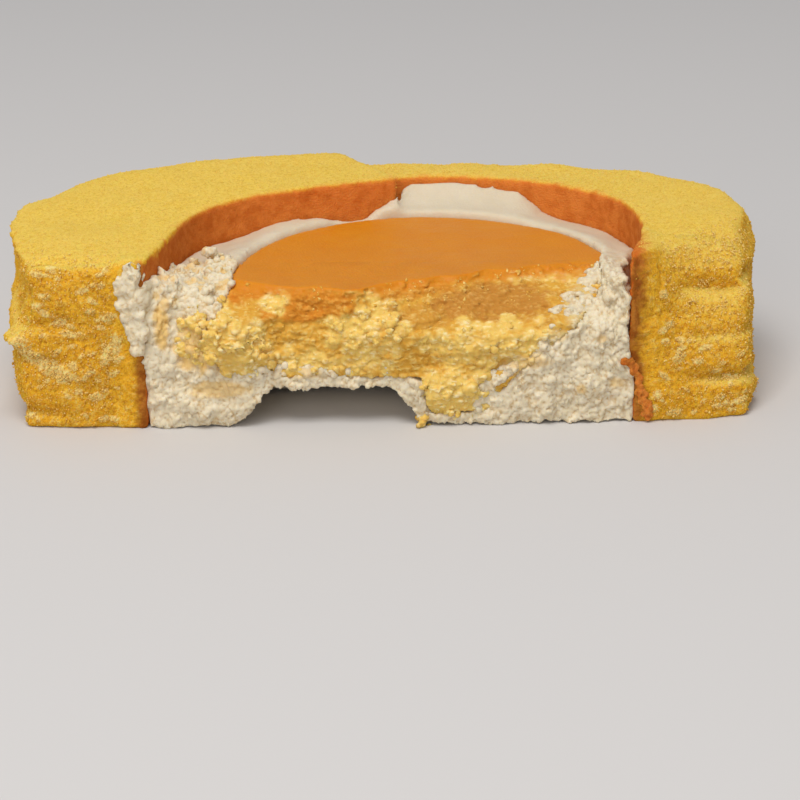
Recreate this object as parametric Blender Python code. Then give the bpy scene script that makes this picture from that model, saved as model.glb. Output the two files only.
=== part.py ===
"""Half of a filled ring roll cake, cut across and resting on its flat underside.

A sheet of yellow sponge, baked brown on its inner side, is rolled into a ring round
whipped cream and a small baked cheesecake. This half holds both ends of the sheet,
which meet at the back in a long slanting seam. The cut is torn rather than sliced,
so its face is craggy and a piece is missing from under the filling.

X runs along the cut, Y from the cut towards the back and Z up. The origin is the
middle of the footprint, on the surface that the cake stands on.
"""

import math

import bmesh
import bpy
from mathutils import Vector, noise

# Driving dimensions, in metres. The plan points below are measured from the middle
# of the cut, and FOOTPRINT_MIDDLE brings them to the origin.
HEIGHT = 0.0277
FOOTPRINT_MIDDLE = Vector((0.0003, 0.0296))
# The free space left between two pieces that touch.
GAP = 0.0005

# The sponge sheet's two faces seen from above, each from the cut to the seam.
LEFT_OUTER = [
    (-0.0588, 0.0012), (-0.0598, 0.012), (-0.0605, 0.026), (-0.0560, 0.039),
    (-0.0460, 0.0495), (-0.0310, 0.0565), (-0.0075, 0.0610),
]
LEFT_INNER = [
    (-0.0385, 0.0), (-0.0360, 0.0085), (-0.0340, 0.0170), (-0.0305, 0.0265),
    (-0.0235, 0.0332), (-0.0130, 0.0372), (-0.0045, 0.0402), (0.0030, 0.0428),
]
RIGHT_OUTER = [
    (0.0580, 0.0020), (0.0597, 0.0150), (0.0610, 0.0275), (0.0570, 0.0400),
    (0.0460, 0.0500), (0.0300, 0.0560), (0.0130, 0.0580), (-0.0046, 0.0566),
]
RIGHT_INNER = [
    (0.0395, 0.0), (0.0410, 0.0110), (0.0418, 0.0210), (0.0400, 0.0310),
    (0.0335, 0.0392), (0.0240, 0.0452), (0.0120, 0.0480), (0.0007, 0.0474),
]

# Folds that stand out of, or into, the sponge's outer wall: height, half width, depth.
LEFT_FOLDS = [(0.0265, 0.0018, 0.0011), (0.0145, 0.0020, 0.0015), (0.0025, 0.0022, -0.0009)]
RIGHT_FOLDS = [(0.0205, 0.0018, 0.0012), (0.0120, 0.0045, 0.0006), (0.0255, 0.0025, -0.0004)]
SPONGE_EDGE = 0.0011
SPONGE_CRAG = 0.0006
# How far the top of each cut end leans back and to the right, and how far the top
# rises to the seam.
LEFT_LEAN = (0.0013, 0.0015)
RIGHT_LEAN = (0.0004, 0.0145)
LEFT_RISE = 0.0010
RIGHT_RISE = -0.0003

# The cheesecake is a round one, cut in front of its middle. On the cut its left side
# swells at mid height, and the cream smeared over it slants its right side.
CHEESECAKE_MIDDLE = Vector((0.0068, 0.0096))
CHEESECAKE_RADIUS = 0.0306
CHEESECAKE_TOP = 0.0225
CHEESECAKE_FLOOR = 0.0085
CHEESECAKE_LOW_FLOOR = 0.0026
CHEESECAKE_LOW_START = 0.0100
CHEESECAKE_CUT_LEFT = -0.0238
CHEESECAKE_CUT_SWELL = 0.0055
CHEESECAKE_CUT_RIGHT = 0.0150
CHEESECAKE_CUT_SLANT = 0.0214
CHEESECAKE_CELLS = (24, 8, 10)

# The cream's upper edge, from the right end of the cut round to the left one:
# share of the way round the wall, height on the wall.
CREAM_RISE = [
    (0.00, 0.0238), (0.08, 0.0225), (0.20, 0.0212), (0.325, 0.0216), (0.365, 0.0262),
    (0.44, 0.0270), (0.52, 0.0262), (0.57, 0.0218), (0.66, 0.0238), (0.74, 0.0214),
    (0.86, 0.0218), (1.00, 0.0238),
]
CREAM_LIP = 0.0232
WALL_STEPS = 20
CREAM_FOOT = 0.0002

# The hollow torn out from under the filling, open at the cut.
HOLLOW_LEFT = -0.0215
HOLLOW_RIGHT = 0.0035
HOLLOW_HEIGHT = 0.0066
HOLLOW_DEPTH = 0.0170
HOLLOW_SIDE = 0.0030

# Swellings (towards the viewer, negative) and hollows of the torn cut face:
# x, height, half width, half height, depth.
CUT_FORMS = [
    (-0.0255, 0.0150, 0.0050, 0.0050, -0.0022),
    (-0.0335, 0.0180, 0.0030, 0.0070, 0.0020),
    (-0.0130, 0.0150, 0.0080, 0.0045, 0.0012),
    (0.0005, 0.0160, 0.0055, 0.0032, -0.0014),
    (0.0140, 0.0195, 0.0110, 0.0028, 0.0026),
    (0.0140, 0.0145, 0.0110, 0.0022, -0.0014),
    (0.0085, 0.0055, 0.0060, 0.0045, -0.0014),
    (0.0240, 0.0060, 0.0070, 0.0060, -0.0006),
    (-0.0315, 0.0050, 0.0050, 0.0040, -0.0008),
]
CUT_CRAG = 0.0008
# Above LEAN_START the torn face of the filling leans back to this line: x, y.
LEAN_START = 0.0165
TOP_EDGE = [
    (-0.0385, 0.0000), (-0.0330, 0.0030), (-0.0246, 0.0070), (-0.0198, 0.0044),
    (-0.0138, 0.0024), (-0.0068, 0.0012), (0.0020, 0.0050), (0.0100, 0.0069),
    (0.0180, 0.0097), (0.0250, 0.0124), (0.0315, 0.0136), (0.0365, 0.0100),
    (0.0395, 0.0000),
]


def smooth_step(low, high, value):
    """0 below low, 1 above high, and a smooth rise between them."""
    share = min(1.0, max(0.0, (value - low) / (high - low)))
    return share * share * (3.0 - 2.0 * share)


def along(points, share):
    """The point at a share of the way along a smooth curve through the points."""
    place = min(max(share, 0.0), 1.0) * (len(points) - 1)
    index = min(int(place), len(points) - 2)
    t = place - index
    p1, p2 = Vector(points[index]), Vector(points[index + 1])
    p0 = Vector(points[index - 1]) if index > 0 else 2 * p1 - p2
    p3 = Vector(points[index + 2]) if index + 2 < len(points) else 2 * p2 - p1
    return 0.5 * (
        2 * p1
        + (p2 - p0) * t
        + (2 * p0 - 5 * p1 + 4 * p2 - p3) * t**2
        + (3 * p1 - p0 - 3 * p2 + p3) * t**3
    )


def level_at(steps, where):
    """The second value at a place between the listed pairs, which it joins smoothly."""
    if where <= steps[0][0]:
        return steps[0][1]
    for (start, low), (end, high) in zip(steps, steps[1:]):
        if where <= end:
            return low + (high - low) * smooth_step(start, end, where)
    return steps[-1][1]


def crag(point, size, seed):
    """Uneven relief between about -1 and 1, with lumps of the given size."""
    shifted = Vector(point) / size + Vector((seed, 2.0 * seed, 3.0 * seed))
    return noise.fractal(shifted, 1.0, 2.0, 2, noise_basis="PERLIN_ORIGINAL") * 1.4


def lattice_block(counts, place):
    """A closed block with the given numbers of cells, its skin moved by place(u, v, w)."""
    built = bmesh.new()
    corners = {}

    def corner(cell):
        if cell not in corners:
            corners[cell] = built.verts.new(place(*(i / n for i, n in zip(cell, counts))))
        return corners[cell]

    for axis in range(3):
        across, up = (axis + 1) % 3, (axis + 2) % 3
        for side in (0, counts[axis]):
            for i in range(counts[across]):
                for j in range(counts[up]):
                    ring = []
                    for di, dj in ((0, 0), (1, 0), (1, 1), (0, 1)):
                        cell = [0, 0, 0]
                        cell[axis], cell[across], cell[up] = side, i + di, j + dj
                        ring.append(corner(tuple(cell)))
                    built.faces.new(ring)
    bmesh.ops.remove_doubles(built, verts=built.verts, dist=0.00002)
    bmesh.ops.recalc_face_normals(built, faces=built.faces)
    return built


def finish(name, built, material):
    """Turns a bmesh into a named object of one material, standing in its place."""
    mesh = bpy.data.meshes.new(name)
    built.to_mesh(mesh)
    built.free()
    mesh.shade_smooth()
    made = bpy.data.objects.new(name, mesh)
    made.location = (-FOOTPRINT_MIDDLE.x, -FOOTPRINT_MIDDLE.y, 0.0)
    bpy.context.scene.collection.objects.link(made)
    if material:
        mesh.materials.append(material)
    return made


def food_material(name, colour, roughness):
    """A plain Principled finish in the food's own colour."""
    made = bpy.data.materials.new(name)
    made.use_nodes = True
    shader = made.node_tree.nodes["Principled BSDF"]
    shader.inputs["Base Color"].default_value = (*colour, 1.0)
    shader.inputs["Roughness"].default_value = roughness
    shader.inputs["Metallic"].default_value = 0.0
    return made


def cut_depth(x, z):
    """How far the torn face lies behind the plane of the cut."""
    depth = 0.0
    for form_x, form_z, half_width, half_height, form_depth in CUT_FORMS:
        off = ((x - form_x) / half_width) ** 2 + ((z - form_z) / half_height) ** 2
        depth += form_depth * math.exp(-off)
    climb = (z - LEAN_START) / (CHEESECAKE_TOP - LEAN_START)
    depth += level_at(TOP_EDGE, x) * min(1.1, max(0.0, climb)) ** 1.3
    return depth + CUT_CRAG * crag((x, 0.0, z), 0.0050, 1.0)


def sponge(inner, outer, folds, lean, rise, seed, cells):
    """One length of the rolled sponge sheet, from the cut to the seam."""

    def place(u, v, w):
        share = u**1.15
        near, far = along(inner, share), along(outer, share)
        outward = (far - near).normalized()
        spot = near.lerp(far, v)
        z = HEIGHT * w
        loose = smooth_step(0.0, 0.3, v) * (1.0 - smooth_step(0.9, 1.0, u))
        if v == 1.0:
            reach = sum(d * math.exp(-(((z - h) / r) ** 2)) for h, r, d in folds)
            reach += SPONGE_CRAG * crag((spot.x, spot.y, z), 0.0070, seed)
            if w in (0.0, 1.0):
                reach -= SPONGE_EDGE
            spot += outward * reach * (0.25 + 0.75 * loose)
        if u == 0.0:
            spot.y += SPONGE_CRAG * crag((spot.x, 0.0, z), 0.0060, seed + 5.0)
        tilt = (1.0 - u) ** 3 * (1.0 - (1.0 - v) ** 2.2) * w**2.4
        spot += Vector((lean[0] * v, lean[1])) * tilt
        if w == 1.0:
            z += rise * smooth_step(0.35, 0.8, share)
            z += 0.6 * SPONGE_CRAG * crag((spot.x, spot.y, 0.0), 0.0090, seed + 9.0) * loose
            if v == 1.0 or u == 0.0:
                z -= 0.5 * SPONGE_EDGE
        return spot.x, spot.y, z

    return lattice_block(cells, place)


def cheesecake_side(z, u, grow):
    """X of the cheesecake on the cut face, u of the way from its left side to its right."""
    swell = CHEESECAKE_CUT_SWELL * math.exp(-(((z - 0.0145) / 0.0050) ** 2))
    slant = CHEESECAKE_CUT_SLANT * min(1.0, max(0.0, (z - 0.0030) / 0.0190)) ** 1.15
    left = CHEESECAKE_CUT_LEFT - swell - grow
    right = CHEESECAKE_CUT_RIGHT + slant + grow
    return left + (right - left) * u


def cheesecake_block(grow=0.0, front=None, top=None):
    """The cheesecake, or with grow, front and top set, the space that it takes.

    The space has one more layer of cells in front and one on top, and elsewhere it
    follows the cheesecake's own cells at the distance grow.
    """
    half_cut = math.sqrt(CHEESECAKE_RADIUS**2 - CHEESECAKE_MIDDLE.y**2)
    across_cells, up_cells, in_cells = CHEESECAKE_CELLS
    extra = 1 if grow else 0

    def place(u, v, w):
        up = min(v * (up_cells + extra) / up_cells, 1.0)
        into = max(0.0, (w * (in_cells + extra) - extra) / in_cells)
        across = 2.0 * u - 1.0
        back = CHEESECAKE_MIDDLE.y + math.sqrt(CHEESECAKE_RADIUS**2 - (half_cut * across) ** 2)
        low = smooth_step(0.0, 0.0070, half_cut * across - CHEESECAKE_LOW_START + 3.0 * grow)
        floor = CHEESECAKE_FLOOR + (CHEESECAKE_LOW_FLOOR - CHEESECAKE_FLOOR) * low
        z = floor + (CHEESECAKE_TOP - floor) * up
        cut_x = cheesecake_side(z, u, grow)
        face = cut_depth(cut_x, z)
        y = face + (back + grow - face) * into
        belly = (CHEESECAKE_RADIUS - half_cut) * math.sin(math.pi * min(1.0, max(0.0, y / 0.0192)))
        round_x = CHEESECAKE_MIDDLE.x + (half_cut + grow + belly) * across
        x = cut_x + (round_x - cut_x) * smooth_step(0.0, 0.0120, y - face)
        if grow:
            z = top if v == 1.0 else z - grow * (v == 0.0)
            y = front if w == 0.0 else y
        elif v == 1.0 and 0.0 < w < 1.0:
            z += 0.00025 * crag((x, y, 0.0), 0.0120, 4.0)
        return x, y, z

    return lattice_block((across_cells, up_cells + extra, in_cells + extra), place)


def cream_wall():
    """Points of the cream's outer wall, from the right end of the cut to the left one."""
    points = []
    for line, shares in ((RIGHT_INNER, (0.0, 0.96)), (LEFT_INNER, (1.0, 0.0))):
        for i in range(WALL_STEPS):
            share = shares[0] + (shares[1] - shares[0]) * i / (WALL_STEPS - 1)
            here = along(line, share)
            ahead = along(line, min(1.0, share + 0.01)) - along(line, max(0.0, share - 0.01))
            inward = Vector((-ahead.y, ahead.x)).normalized()
            if line is LEFT_INNER:
                inward = -inward
            points.append(here + inward * GAP)
    points[0].y = points[-1].y = 0.0
    return points


def cream_floor(x, y):
    """The height of the cream's uneven underside."""
    foot = CREAM_FOOT + 0.0011 * max(0.0, crag((x, y, 0.0), 0.0055, 7.0))
    sides = smooth_step(HOLLOW_LEFT - HOLLOW_SIDE, HOLLOW_LEFT + HOLLOW_SIDE, x)
    sides *= 1.0 - smooth_step(HOLLOW_RIGHT - HOLLOW_SIDE, HOLLOW_RIGHT + HOLLOW_SIDE, x)
    roof = HOLLOW_HEIGHT + 0.0006 * crag((x, y, 1.0), 0.0060, 8.0)
    inwards = 1.0 - smooth_step(0.35 * HOLLOW_DEPTH, HOLLOW_DEPTH, y)
    return foot + (roof - foot) * sides * inwards


def cream_block():
    """The whipped cream as one mass, before the cheesecake's space is cut from it."""
    wall = cream_wall()

    def place(a, s, w):
        edge = wall[round(a * (len(wall) - 1))]
        front_x = wall[0].x + (wall[-1].x - wall[0].x) * a
        x = front_x + (edge.x - front_x) * s
        y = edge.y * s
        rim = (edge - CHEESECAKE_MIDDLE).length - CHEESECAKE_RADIUS
        off = (Vector((x, y)) - CHEESECAKE_MIDDLE).length - CHEESECAKE_RADIUS
        climb = smooth_step(0.0, 1.0, off / max(rim, 0.001))
        top = CREAM_LIP + (level_at(CREAM_RISE, a) - CREAM_LIP) * climb
        bottom = cream_floor(x, y)
        z = bottom + (top - bottom) * w
        corner = smooth_step(0.0, 0.03, min(a, 1.0 - a))
        y += min(cut_depth(x, z), 0.42 * edge.y) * corner * (1.0 - s) ** 2
        return x, y, z

    return lattice_block((len(wall) - 1, 9, 7), place)


def subtract(target, cutter):
    """Cuts one object from another, and leaves the cutter out of the model."""
    cutter.hide_render = True
    cutter.display_type = "WIRE"
    cut = target.modifiers.new("space for the cheesecake", "BOOLEAN")
    cut.operation = "DIFFERENCE"
    cut.solver = "EXACT"
    cut.object = cutter


for old in list(bpy.data.objects):
    bpy.data.objects.remove(old, do_unlink=True)

sponge_yellow = food_material("yellow sponge", (0.70, 0.40, 0.06), 0.9)
cream_white = food_material("whipped cream", (0.82, 0.76, 0.62), 0.55)
cheesecake_gold = food_material("baked cheesecake", (0.75, 0.38, 0.08), 0.7)

left = sponge(LEFT_INNER, LEFT_OUTER, LEFT_FOLDS, LEFT_LEAN, LEFT_RISE, 1.0, (34, 7, 9))
right = sponge(RIGHT_INNER, RIGHT_OUTER, RIGHT_FOLDS, RIGHT_LEAN, RIGHT_RISE, 2.0, (36, 6, 9))
finish("sponge_left", left, sponge_yellow)
finish("sponge_right", right, sponge_yellow)
finish("cheesecake", cheesecake_block(), cheesecake_gold)
cream = finish("cream", cream_block(), cream_white)
space = finish("cheesecake_space", cheesecake_block(GAP, -0.0200, 0.0400), None)
subtract(cream, space)
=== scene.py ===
import bmesh
import bpy
import numpy as np
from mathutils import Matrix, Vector, noise
from mathutils.bvhtree import BVHTree
from mathutils.kdtree import KDTree


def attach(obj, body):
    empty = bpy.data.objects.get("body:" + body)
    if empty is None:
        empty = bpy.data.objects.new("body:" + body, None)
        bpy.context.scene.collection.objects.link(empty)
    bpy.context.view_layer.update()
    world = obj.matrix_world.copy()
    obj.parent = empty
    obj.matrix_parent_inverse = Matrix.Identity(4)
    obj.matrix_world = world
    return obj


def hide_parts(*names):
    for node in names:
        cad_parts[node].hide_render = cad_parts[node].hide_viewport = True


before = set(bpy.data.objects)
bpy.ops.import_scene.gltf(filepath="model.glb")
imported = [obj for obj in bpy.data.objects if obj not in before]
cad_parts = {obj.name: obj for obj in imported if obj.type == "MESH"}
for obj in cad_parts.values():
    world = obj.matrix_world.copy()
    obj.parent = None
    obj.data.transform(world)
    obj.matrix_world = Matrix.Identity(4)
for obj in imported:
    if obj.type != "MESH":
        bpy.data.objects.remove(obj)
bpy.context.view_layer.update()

scene = bpy.context.scene

# The camera looks down on the cut from in front and a little to the left, through a
# long lens, as the photograph does.
camera_data = bpy.data.cameras.new("camera")
camera_data.lens = 117.0
camera_data.sensor_width = 36.0
camera_data.clip_start = 0.02
camera_data.clip_end = 20.0
camera = bpy.data.objects.new("camera", camera_data)
scene.collection.objects.link(camera)
camera.location = (-0.0119, -0.4156, 0.1526)
look_at = Vector((0.00156, -0.02967, 0.00431))
camera.rotation_euler = (look_at - camera.location).to_track_quat("-Z", "Y").to_euler()
scene.camera = camera

# Studio light: a broad soft box overhead and a little in front, a weaker one in front
# on the left, and an even pale room round it all.
scene.view_settings.view_transform = "Standard"
room = bpy.data.worlds.new("pale room")
room.use_nodes = True
room.node_tree.nodes["Background"].inputs["Color"].default_value = (0.95, 0.97, 1.0, 1.0)
room.node_tree.nodes["Background"].inputs["Strength"].default_value = 0.40
scene.world = room


def soft_box(name, place, size, power, colour):
    """A square area light of that size and power, aimed at the cake."""
    light = bpy.data.lights.new(name, "AREA")
    light.size = size
    light.energy = power
    light.color = colour
    holder = bpy.data.objects.new(name, light)
    scene.collection.objects.link(holder)
    holder.location = place
    aim = Vector((0.0, 0.0, 0.015)) - Vector(place)
    holder.rotation_euler = aim.to_track_quat("-Z", "Y").to_euler()


soft_box("overhead soft box", (-0.12, -0.36, 0.82), 0.45, 5.3, (1.0, 0.98, 0.94))
soft_box("front soft box", (-0.35, -0.90, 0.38), 0.45, 1.8, (1.0, 0.98, 0.95))

# The floor is a plain sheet of pale grey studio paper, far wider than any view of the
# cake, and flat at height 0, where the cake rests.
bpy.ops.object.select_all(action="DESELECT")
bpy.ops.mesh.primitive_plane_add(size=8.0, location=(0.0, 0.0, 0.0))
floor = bpy.context.object
floor.name = "floor"


def linear(code):
    """An sRGB hex colour as linear red, green, blue and alpha."""
    parts = [int(code[i : i + 2], 16) / 255.0 for i in (1, 3, 5)]
    return (*[c / 12.92 if c <= 0.04045 else ((c + 0.055) / 1.055) ** 2.4 for c in parts], 1.0)


def new_material(name):
    """An empty node material with its Principled shader."""
    made = bpy.data.materials.new(name)
    made.use_nodes = True
    return made, made.node_tree.nodes["Principled BSDF"]


# Studio paper, pressed and uncoated: one even grey, with soft shadows and no shine.
pale_paper, paper_shader = new_material("matt studio paper")
paper_shader.inputs["Base Color"].default_value = linear("#cfcccb")
paper_shader.inputs["Roughness"].default_value = 0.85
floor.data.materials.append(pale_paper)

# The sponge is one rolled sheet in two lengths: an airy egg sponge, cut and torn, so
# open grain shows all over, and a thin baked skin, browned, on the side of the filling.
MM = 0.001
CUT_Y = -0.0296
FILLING_MIDDLE = (0.0065, -0.0200)
BODY_VOXEL = 0.45 * MM
LUMPY_VOXEL = 0.46 * MM


def pick(piece):
    """Makes the piece the only one selected, and the active one."""
    bpy.ops.object.select_all(action="DESELECT")
    piece.select_set(True)
    bpy.context.view_layer.objects.active = piece


def plain_copy(node, name):
    """An object of its own with the node's form, its loose triangles merged."""
    piece = bpy.data.objects.new(name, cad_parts[node].data.copy())
    piece.data.name = name
    piece.data.materials.clear()
    scene.collection.objects.link(piece)
    pick(piece)
    bpy.ops.object.mode_set(mode="EDIT")
    bpy.ops.mesh.select_all(action="SELECT")
    bpy.ops.mesh.remove_doubles(threshold=0.00001)
    bpy.ops.object.mode_set(mode="OBJECT")
    return piece


def fuse(piece, voxel, rounds):
    """Fuses all that overlaps in the piece into one even mesh, and smooths it."""
    pick(piece)
    one_skin = piece.modifiers.new("one skin", "REMESH")
    one_skin.mode = "VOXEL"
    one_skin.voxel_size = voxel
    bpy.ops.object.modifier_apply(modifier="one skin")
    if rounds:
        even = piece.modifiers.new("even out", "SMOOTH")
        even.factor = 0.5
        even.iterations = rounds
        bpy.ops.object.modifier_apply(modifier="even out")
    piece.data.shade_smooth()


def points_of(mesh):
    """Every vertex's place and normal, as two arrays."""
    places = np.empty(len(mesh.vertices) * 3, np.float32)
    mesh.vertices.foreach_get("co", places)
    normals = np.empty(len(mesh.vertices) * 3, np.float32)
    mesh.vertex_normals.foreach_get("vector", normals)
    return places.reshape(-1, 3).astype(float), normals.reshape(-1, 3).astype(float)


def move_points(mesh, places):
    """Puts the vertices at new places, none of them below the floor."""
    places[:, 2] = np.maximum(places[:, 2], 0.0)
    mesh.vertices.foreach_set("co", places.astype(np.float32).ravel())
    mesh.update()


def field(places, size, seed=0.0, octaves=2):
    """Uneven noise of about -1 to 1 at each place, with lumps of the given size."""
    spots = places / size + np.array((seed, 2.7 * seed, 5.1 * seed))
    return np.array([noise.fractal(Vector(spot), 0.9, 2.1, octaves) for spot in spots])


def step(low, high, values):
    """0 below low, 1 above high, and a smooth rise between, for whole arrays."""
    share = np.clip((values - low) / (high - low), 0.0, 1.0)
    return share * share * (3.0 - 2.0 * share)


def relaxed(mesh, rounds):
    """Where the vertices would lie after that many rounds of smoothing."""
    places, _ = points_of(mesh)
    pairs = np.empty(len(mesh.edges) * 2, np.int32)
    mesh.edges.foreach_get("vertices", pairs)
    one, two = pairs.reshape(-1, 2).T
    count = len(places)
    share = np.bincount(one, minlength=count) + np.bincount(two, minlength=count)
    for _ in range(rounds):
        total = np.empty_like(places)
        for i in range(3):
            total[:, i] = np.bincount(one, places[two, i], count)
            total[:, i] += np.bincount(two, places[one, i], count)
        places = total / np.maximum(share, 1)[:, None]
    return places


def store(mesh, name, values):
    """Keeps one number for each vertex, for the material to read."""
    kept = mesh.attributes.new(name, "FLOAT", "POINT")
    kept.data.foreach_set("value", np.clip(values, 0.0, 1.0).astype(np.float32))


def crumbs(name, spots, sizes, flatness, draw, faces):
    """A mesh of many uneven crumbs, each turned and squeezed in its own way."""
    if faces == 8:
        shape = np.vstack((np.eye(3), -np.eye(3)))
        around = ((0, 1), (1, 3), (3, 4), (4, 0))
        rings = np.array([(a, b, 2) for a, b in around] + [(b, a, 5) for a, b in around])
    else:
        template = bmesh.new()
        bmesh.ops.create_icosphere(template, subdivisions={20: 1, 80: 2}[faces], radius=1.0)
        shape = np.array([v.co for v in template.verts])
        rings = np.array([[v.index for v in f.verts] for f in template.faces])
        template.free()
    count = len(spots)
    turns = np.linalg.qr(draw.normal(size=(count, 3, 3)))[0]
    turns[:, :, 0] *= np.sign(np.linalg.det(turns))[:, None]
    squeeze = 1.0 - flatness * draw.random((count, 3))
    knobs = shape[None] * draw.uniform(0.72, 1.28, (count, len(shape), 1))
    knobs = knobs * squeeze[:, None, :] * sizes[:, None, None]
    places = np.einsum("nij,nkj->nki", turns, knobs) + spots[:, None, :]
    places[:, :, 2] = np.maximum(places[:, :, 2], 0.0)
    loops = (rings[None] + (np.arange(count) * len(shape))[:, None, None]).reshape(-1)
    mesh = bpy.data.meshes.new(name)
    mesh.vertices.add(count * len(shape))
    mesh.vertices.foreach_set("co", places.astype(np.float32).ravel())
    mesh.loops.add(len(loops))
    mesh.loops.foreach_set("vertex_index", loops.astype(np.int32))
    mesh.polygons.add(len(loops) // 3)
    mesh.polygons.foreach_set("loop_start", np.arange(0, len(loops), 3, dtype=np.int32))
    mesh.update(calc_edges=True)
    return mesh


def join_into(piece, mesh):
    """Adds the faces of a mesh to the piece."""
    extra = bpy.data.objects.new("extra", mesh)
    scene.collection.objects.link(extra)
    pick(piece)
    extra.select_set(True)
    bpy.ops.object.join()


def scatter(mesh, count, draw, wanted):
    """Random places and normals on the mesh, more of them where wanted() is high."""
    mesh.calc_loop_triangles()
    corners = np.empty(len(mesh.loop_triangles) * 3, np.int32)
    mesh.loop_triangles.foreach_get("vertices", corners)
    places, _ = points_of(mesh)
    a, b, c = (places[corners.reshape(-1, 3)[:, i]] for i in range(3))
    normals = np.cross(b - a, c - a)
    areas = np.linalg.norm(normals, axis=1)
    normals /= np.maximum(areas, 1e-15)[:, None]
    weights = areas * np.clip(wanted((a + b + c) / 3.0, normals), 0.0, None)
    chosen = draw.choice(len(areas), count, p=weights / weights.sum())
    u, v = draw.random((2, count))
    flip = u + v > 1.0
    u[flip], v[flip] = 1.0 - u[flip], 1.0 - v[flip]
    spots = a[chosen] + (b - a)[chosen] * u[:, None] + (c - a)[chosen] * v[:, None]
    return spots, normals[chosen]


def browned_wall(node):
    """The sponge solid's faces towards the filling, to measure from, and their top edge."""
    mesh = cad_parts[node].data
    rings = []
    for face in mesh.polygons:
        inwards = Vector((*FILLING_MIDDLE, 0.0)) - face.center
        inwards.z = 0.0
        if abs(face.normal.z) < 0.4 and face.normal.dot(inwards.normalized()) > 0.6:
            rings.append(tuple(face.vertices))
    used = sorted({i for ring in rings for i in ring})
    corners = np.array([mesh.vertices[i].co for i in used])
    tops = []
    for corner in corners:
        beside = np.linalg.norm(corners[:, :2] - corner[:2], axis=1) < 0.002
        if corner[2] > 0.020 and corner[2] > corners[beside, 2].max() - 0.00001:
            tops.append(corner)
    rim = KDTree(len(tops))
    for index, corner in enumerate(tops):
        rim.insert((corner[0], corner[1], 0.0), index)
    rim.balance()
    return BVHTree.FromPolygons([v.co.copy() for v in mesh.vertices], rings), rim, tops


def crease(places, folds):
    """Depth of the level folds near a cut's outer end, from height, width and depth."""
    total = np.zeros(len(places))
    flat = places * np.array((1.0, 1.0, 0.2))
    for height, width, depth in folds:
        wave = 0.8 * MM * field(flat, 9.0 * MM, height / MM, 1)
        total += depth * np.exp(-(((places[:, 2] - height + wave) / width) ** 2))
    return total


# Unseeded, Blender's noise vectors would give other curds in every run.
noise.seed_set(1)


def curds(places, size, seed):
    """Relief of packed uneven lumps: 1 on top of each, 0 in the creases between."""
    spots = places / size + np.array((seed, 1.9 * seed, 3.7 * seed))
    heights = []
    for spot in spots:
        here = Vector(spot)
        first, second = noise.voronoi(here + 0.35 * noise.noise_vector(1.3 * here))[0][:2]
        heights.append(1.0 - (first / max(second, 1e-6)) ** 2)
    return np.array(heights)


def slab(node, name, depth):
    """The front of a solid, from the cut back to the given depth, as its own piece."""
    piece = plain_copy(node, name)
    bpy.ops.object.mode_set(mode="EDIT")
    bpy.ops.mesh.select_all(action="SELECT")
    back = (0.0, CUT_Y + depth, 0.0)
    bpy.ops.mesh.bisect(plane_co=back, plane_no=(0.0, 1.0, 0.0), clear_outer=True, use_fill=True)
    bpy.ops.object.mode_set(mode="OBJECT")
    return piece


def thin_out(piece, wanted):
    """Joins most of the triangles where wanted() is nil, as they lie out of sight."""
    places, normals = points_of(piece.data)
    hidden = np.flatnonzero(wanted(places, normals) < 0.02)
    group = piece.vertex_groups.new(name="hidden")
    group.add(hidden.tolist(), 1.0, "REPLACE")
    fewer = piece.modifiers.new("fewer", "DECIMATE")
    fewer.vertex_group = "hidden"
    fewer.ratio = 1.0 - 0.85 * len(hidden) / len(places)
    pick(piece)
    bpy.ops.object.modifier_apply(modifier="fewer")
    piece.vertex_groups.clear()


LEFT_CREASES = [(0.0025, 0.0010, 0.0010), (0.0172, 0.0011, 0.0007), (0.0112, 0.0010, 0.0006)]
RIGHT_CREASES = [(0.0205, 0.0011, 0.0019), (0.0068, 0.0011, 0.0016), (0.0138, 0.0009, 0.0006)]
SPONGE_ENDS = (("left", 3, 0.0500, LEFT_CREASES), ("right", 11, 0.0480, RIGHT_CREASES))
# Ledges that stand out of the ends, or where they fall back: height, half height, from
# and to along the outer wall, reach; all in millimetres.
LEDGES = {
    "left": [
        (27.4, 1.2, -26.0, 8.0, 2.3), (20.5, 4.2, -32.0, -8.0, -1.7),
        (14.4, 0.8, -31.0, -23.0, 2.6),
    ],
    "right": [(3.0, 4.5, -32.0, -6.0, 1.3)],
}


def worn(piece, side, edge_x, folds):
    """Rounds the free edges near a cut and presses its level folds in."""
    places, normals = points_of(piece.data)
    end = 1.0 - step(0.010, 0.022, places[:, 1] - CUT_Y)
    outer = step(0.0, 0.004, np.abs(places[:, 0]) - edge_x)
    rim = step(0.020, 0.024, places[:, 2]) * step(0.0, 0.003, np.abs(places[:, 0]) - 0.0415)
    lift = step(0.0, 0.004, places[:, 2])
    places += (relaxed(piece.data, 60) - places) * (end * np.maximum(outer, rim) * lift)[:, None]
    reach = step(0.0, 0.010, np.abs(places[:, 0]) - edge_x + 0.004)
    places -= normals * (crease(places, folds) * end * reach)[:, None]
    x, y, z = places.T / MM
    for height, half, start, stop, out in LEDGES[side]:
        along_wall = step(start - 0.5, start + 2.0, y) * (1.0 - step(stop - 2.0, stop + 0.5, y))
        ragged = 0.85 + 0.45 * field(places, 1.8 * MM, height, 2)
        lip = np.exp(-(((z - height) / half) ** 2)) * along_wall * ragged * step(54.5, 58.0, np.abs(x))
        places[:, 0] += np.sign(x) * out * lip * MM
    move_points(piece.data, places)


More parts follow.
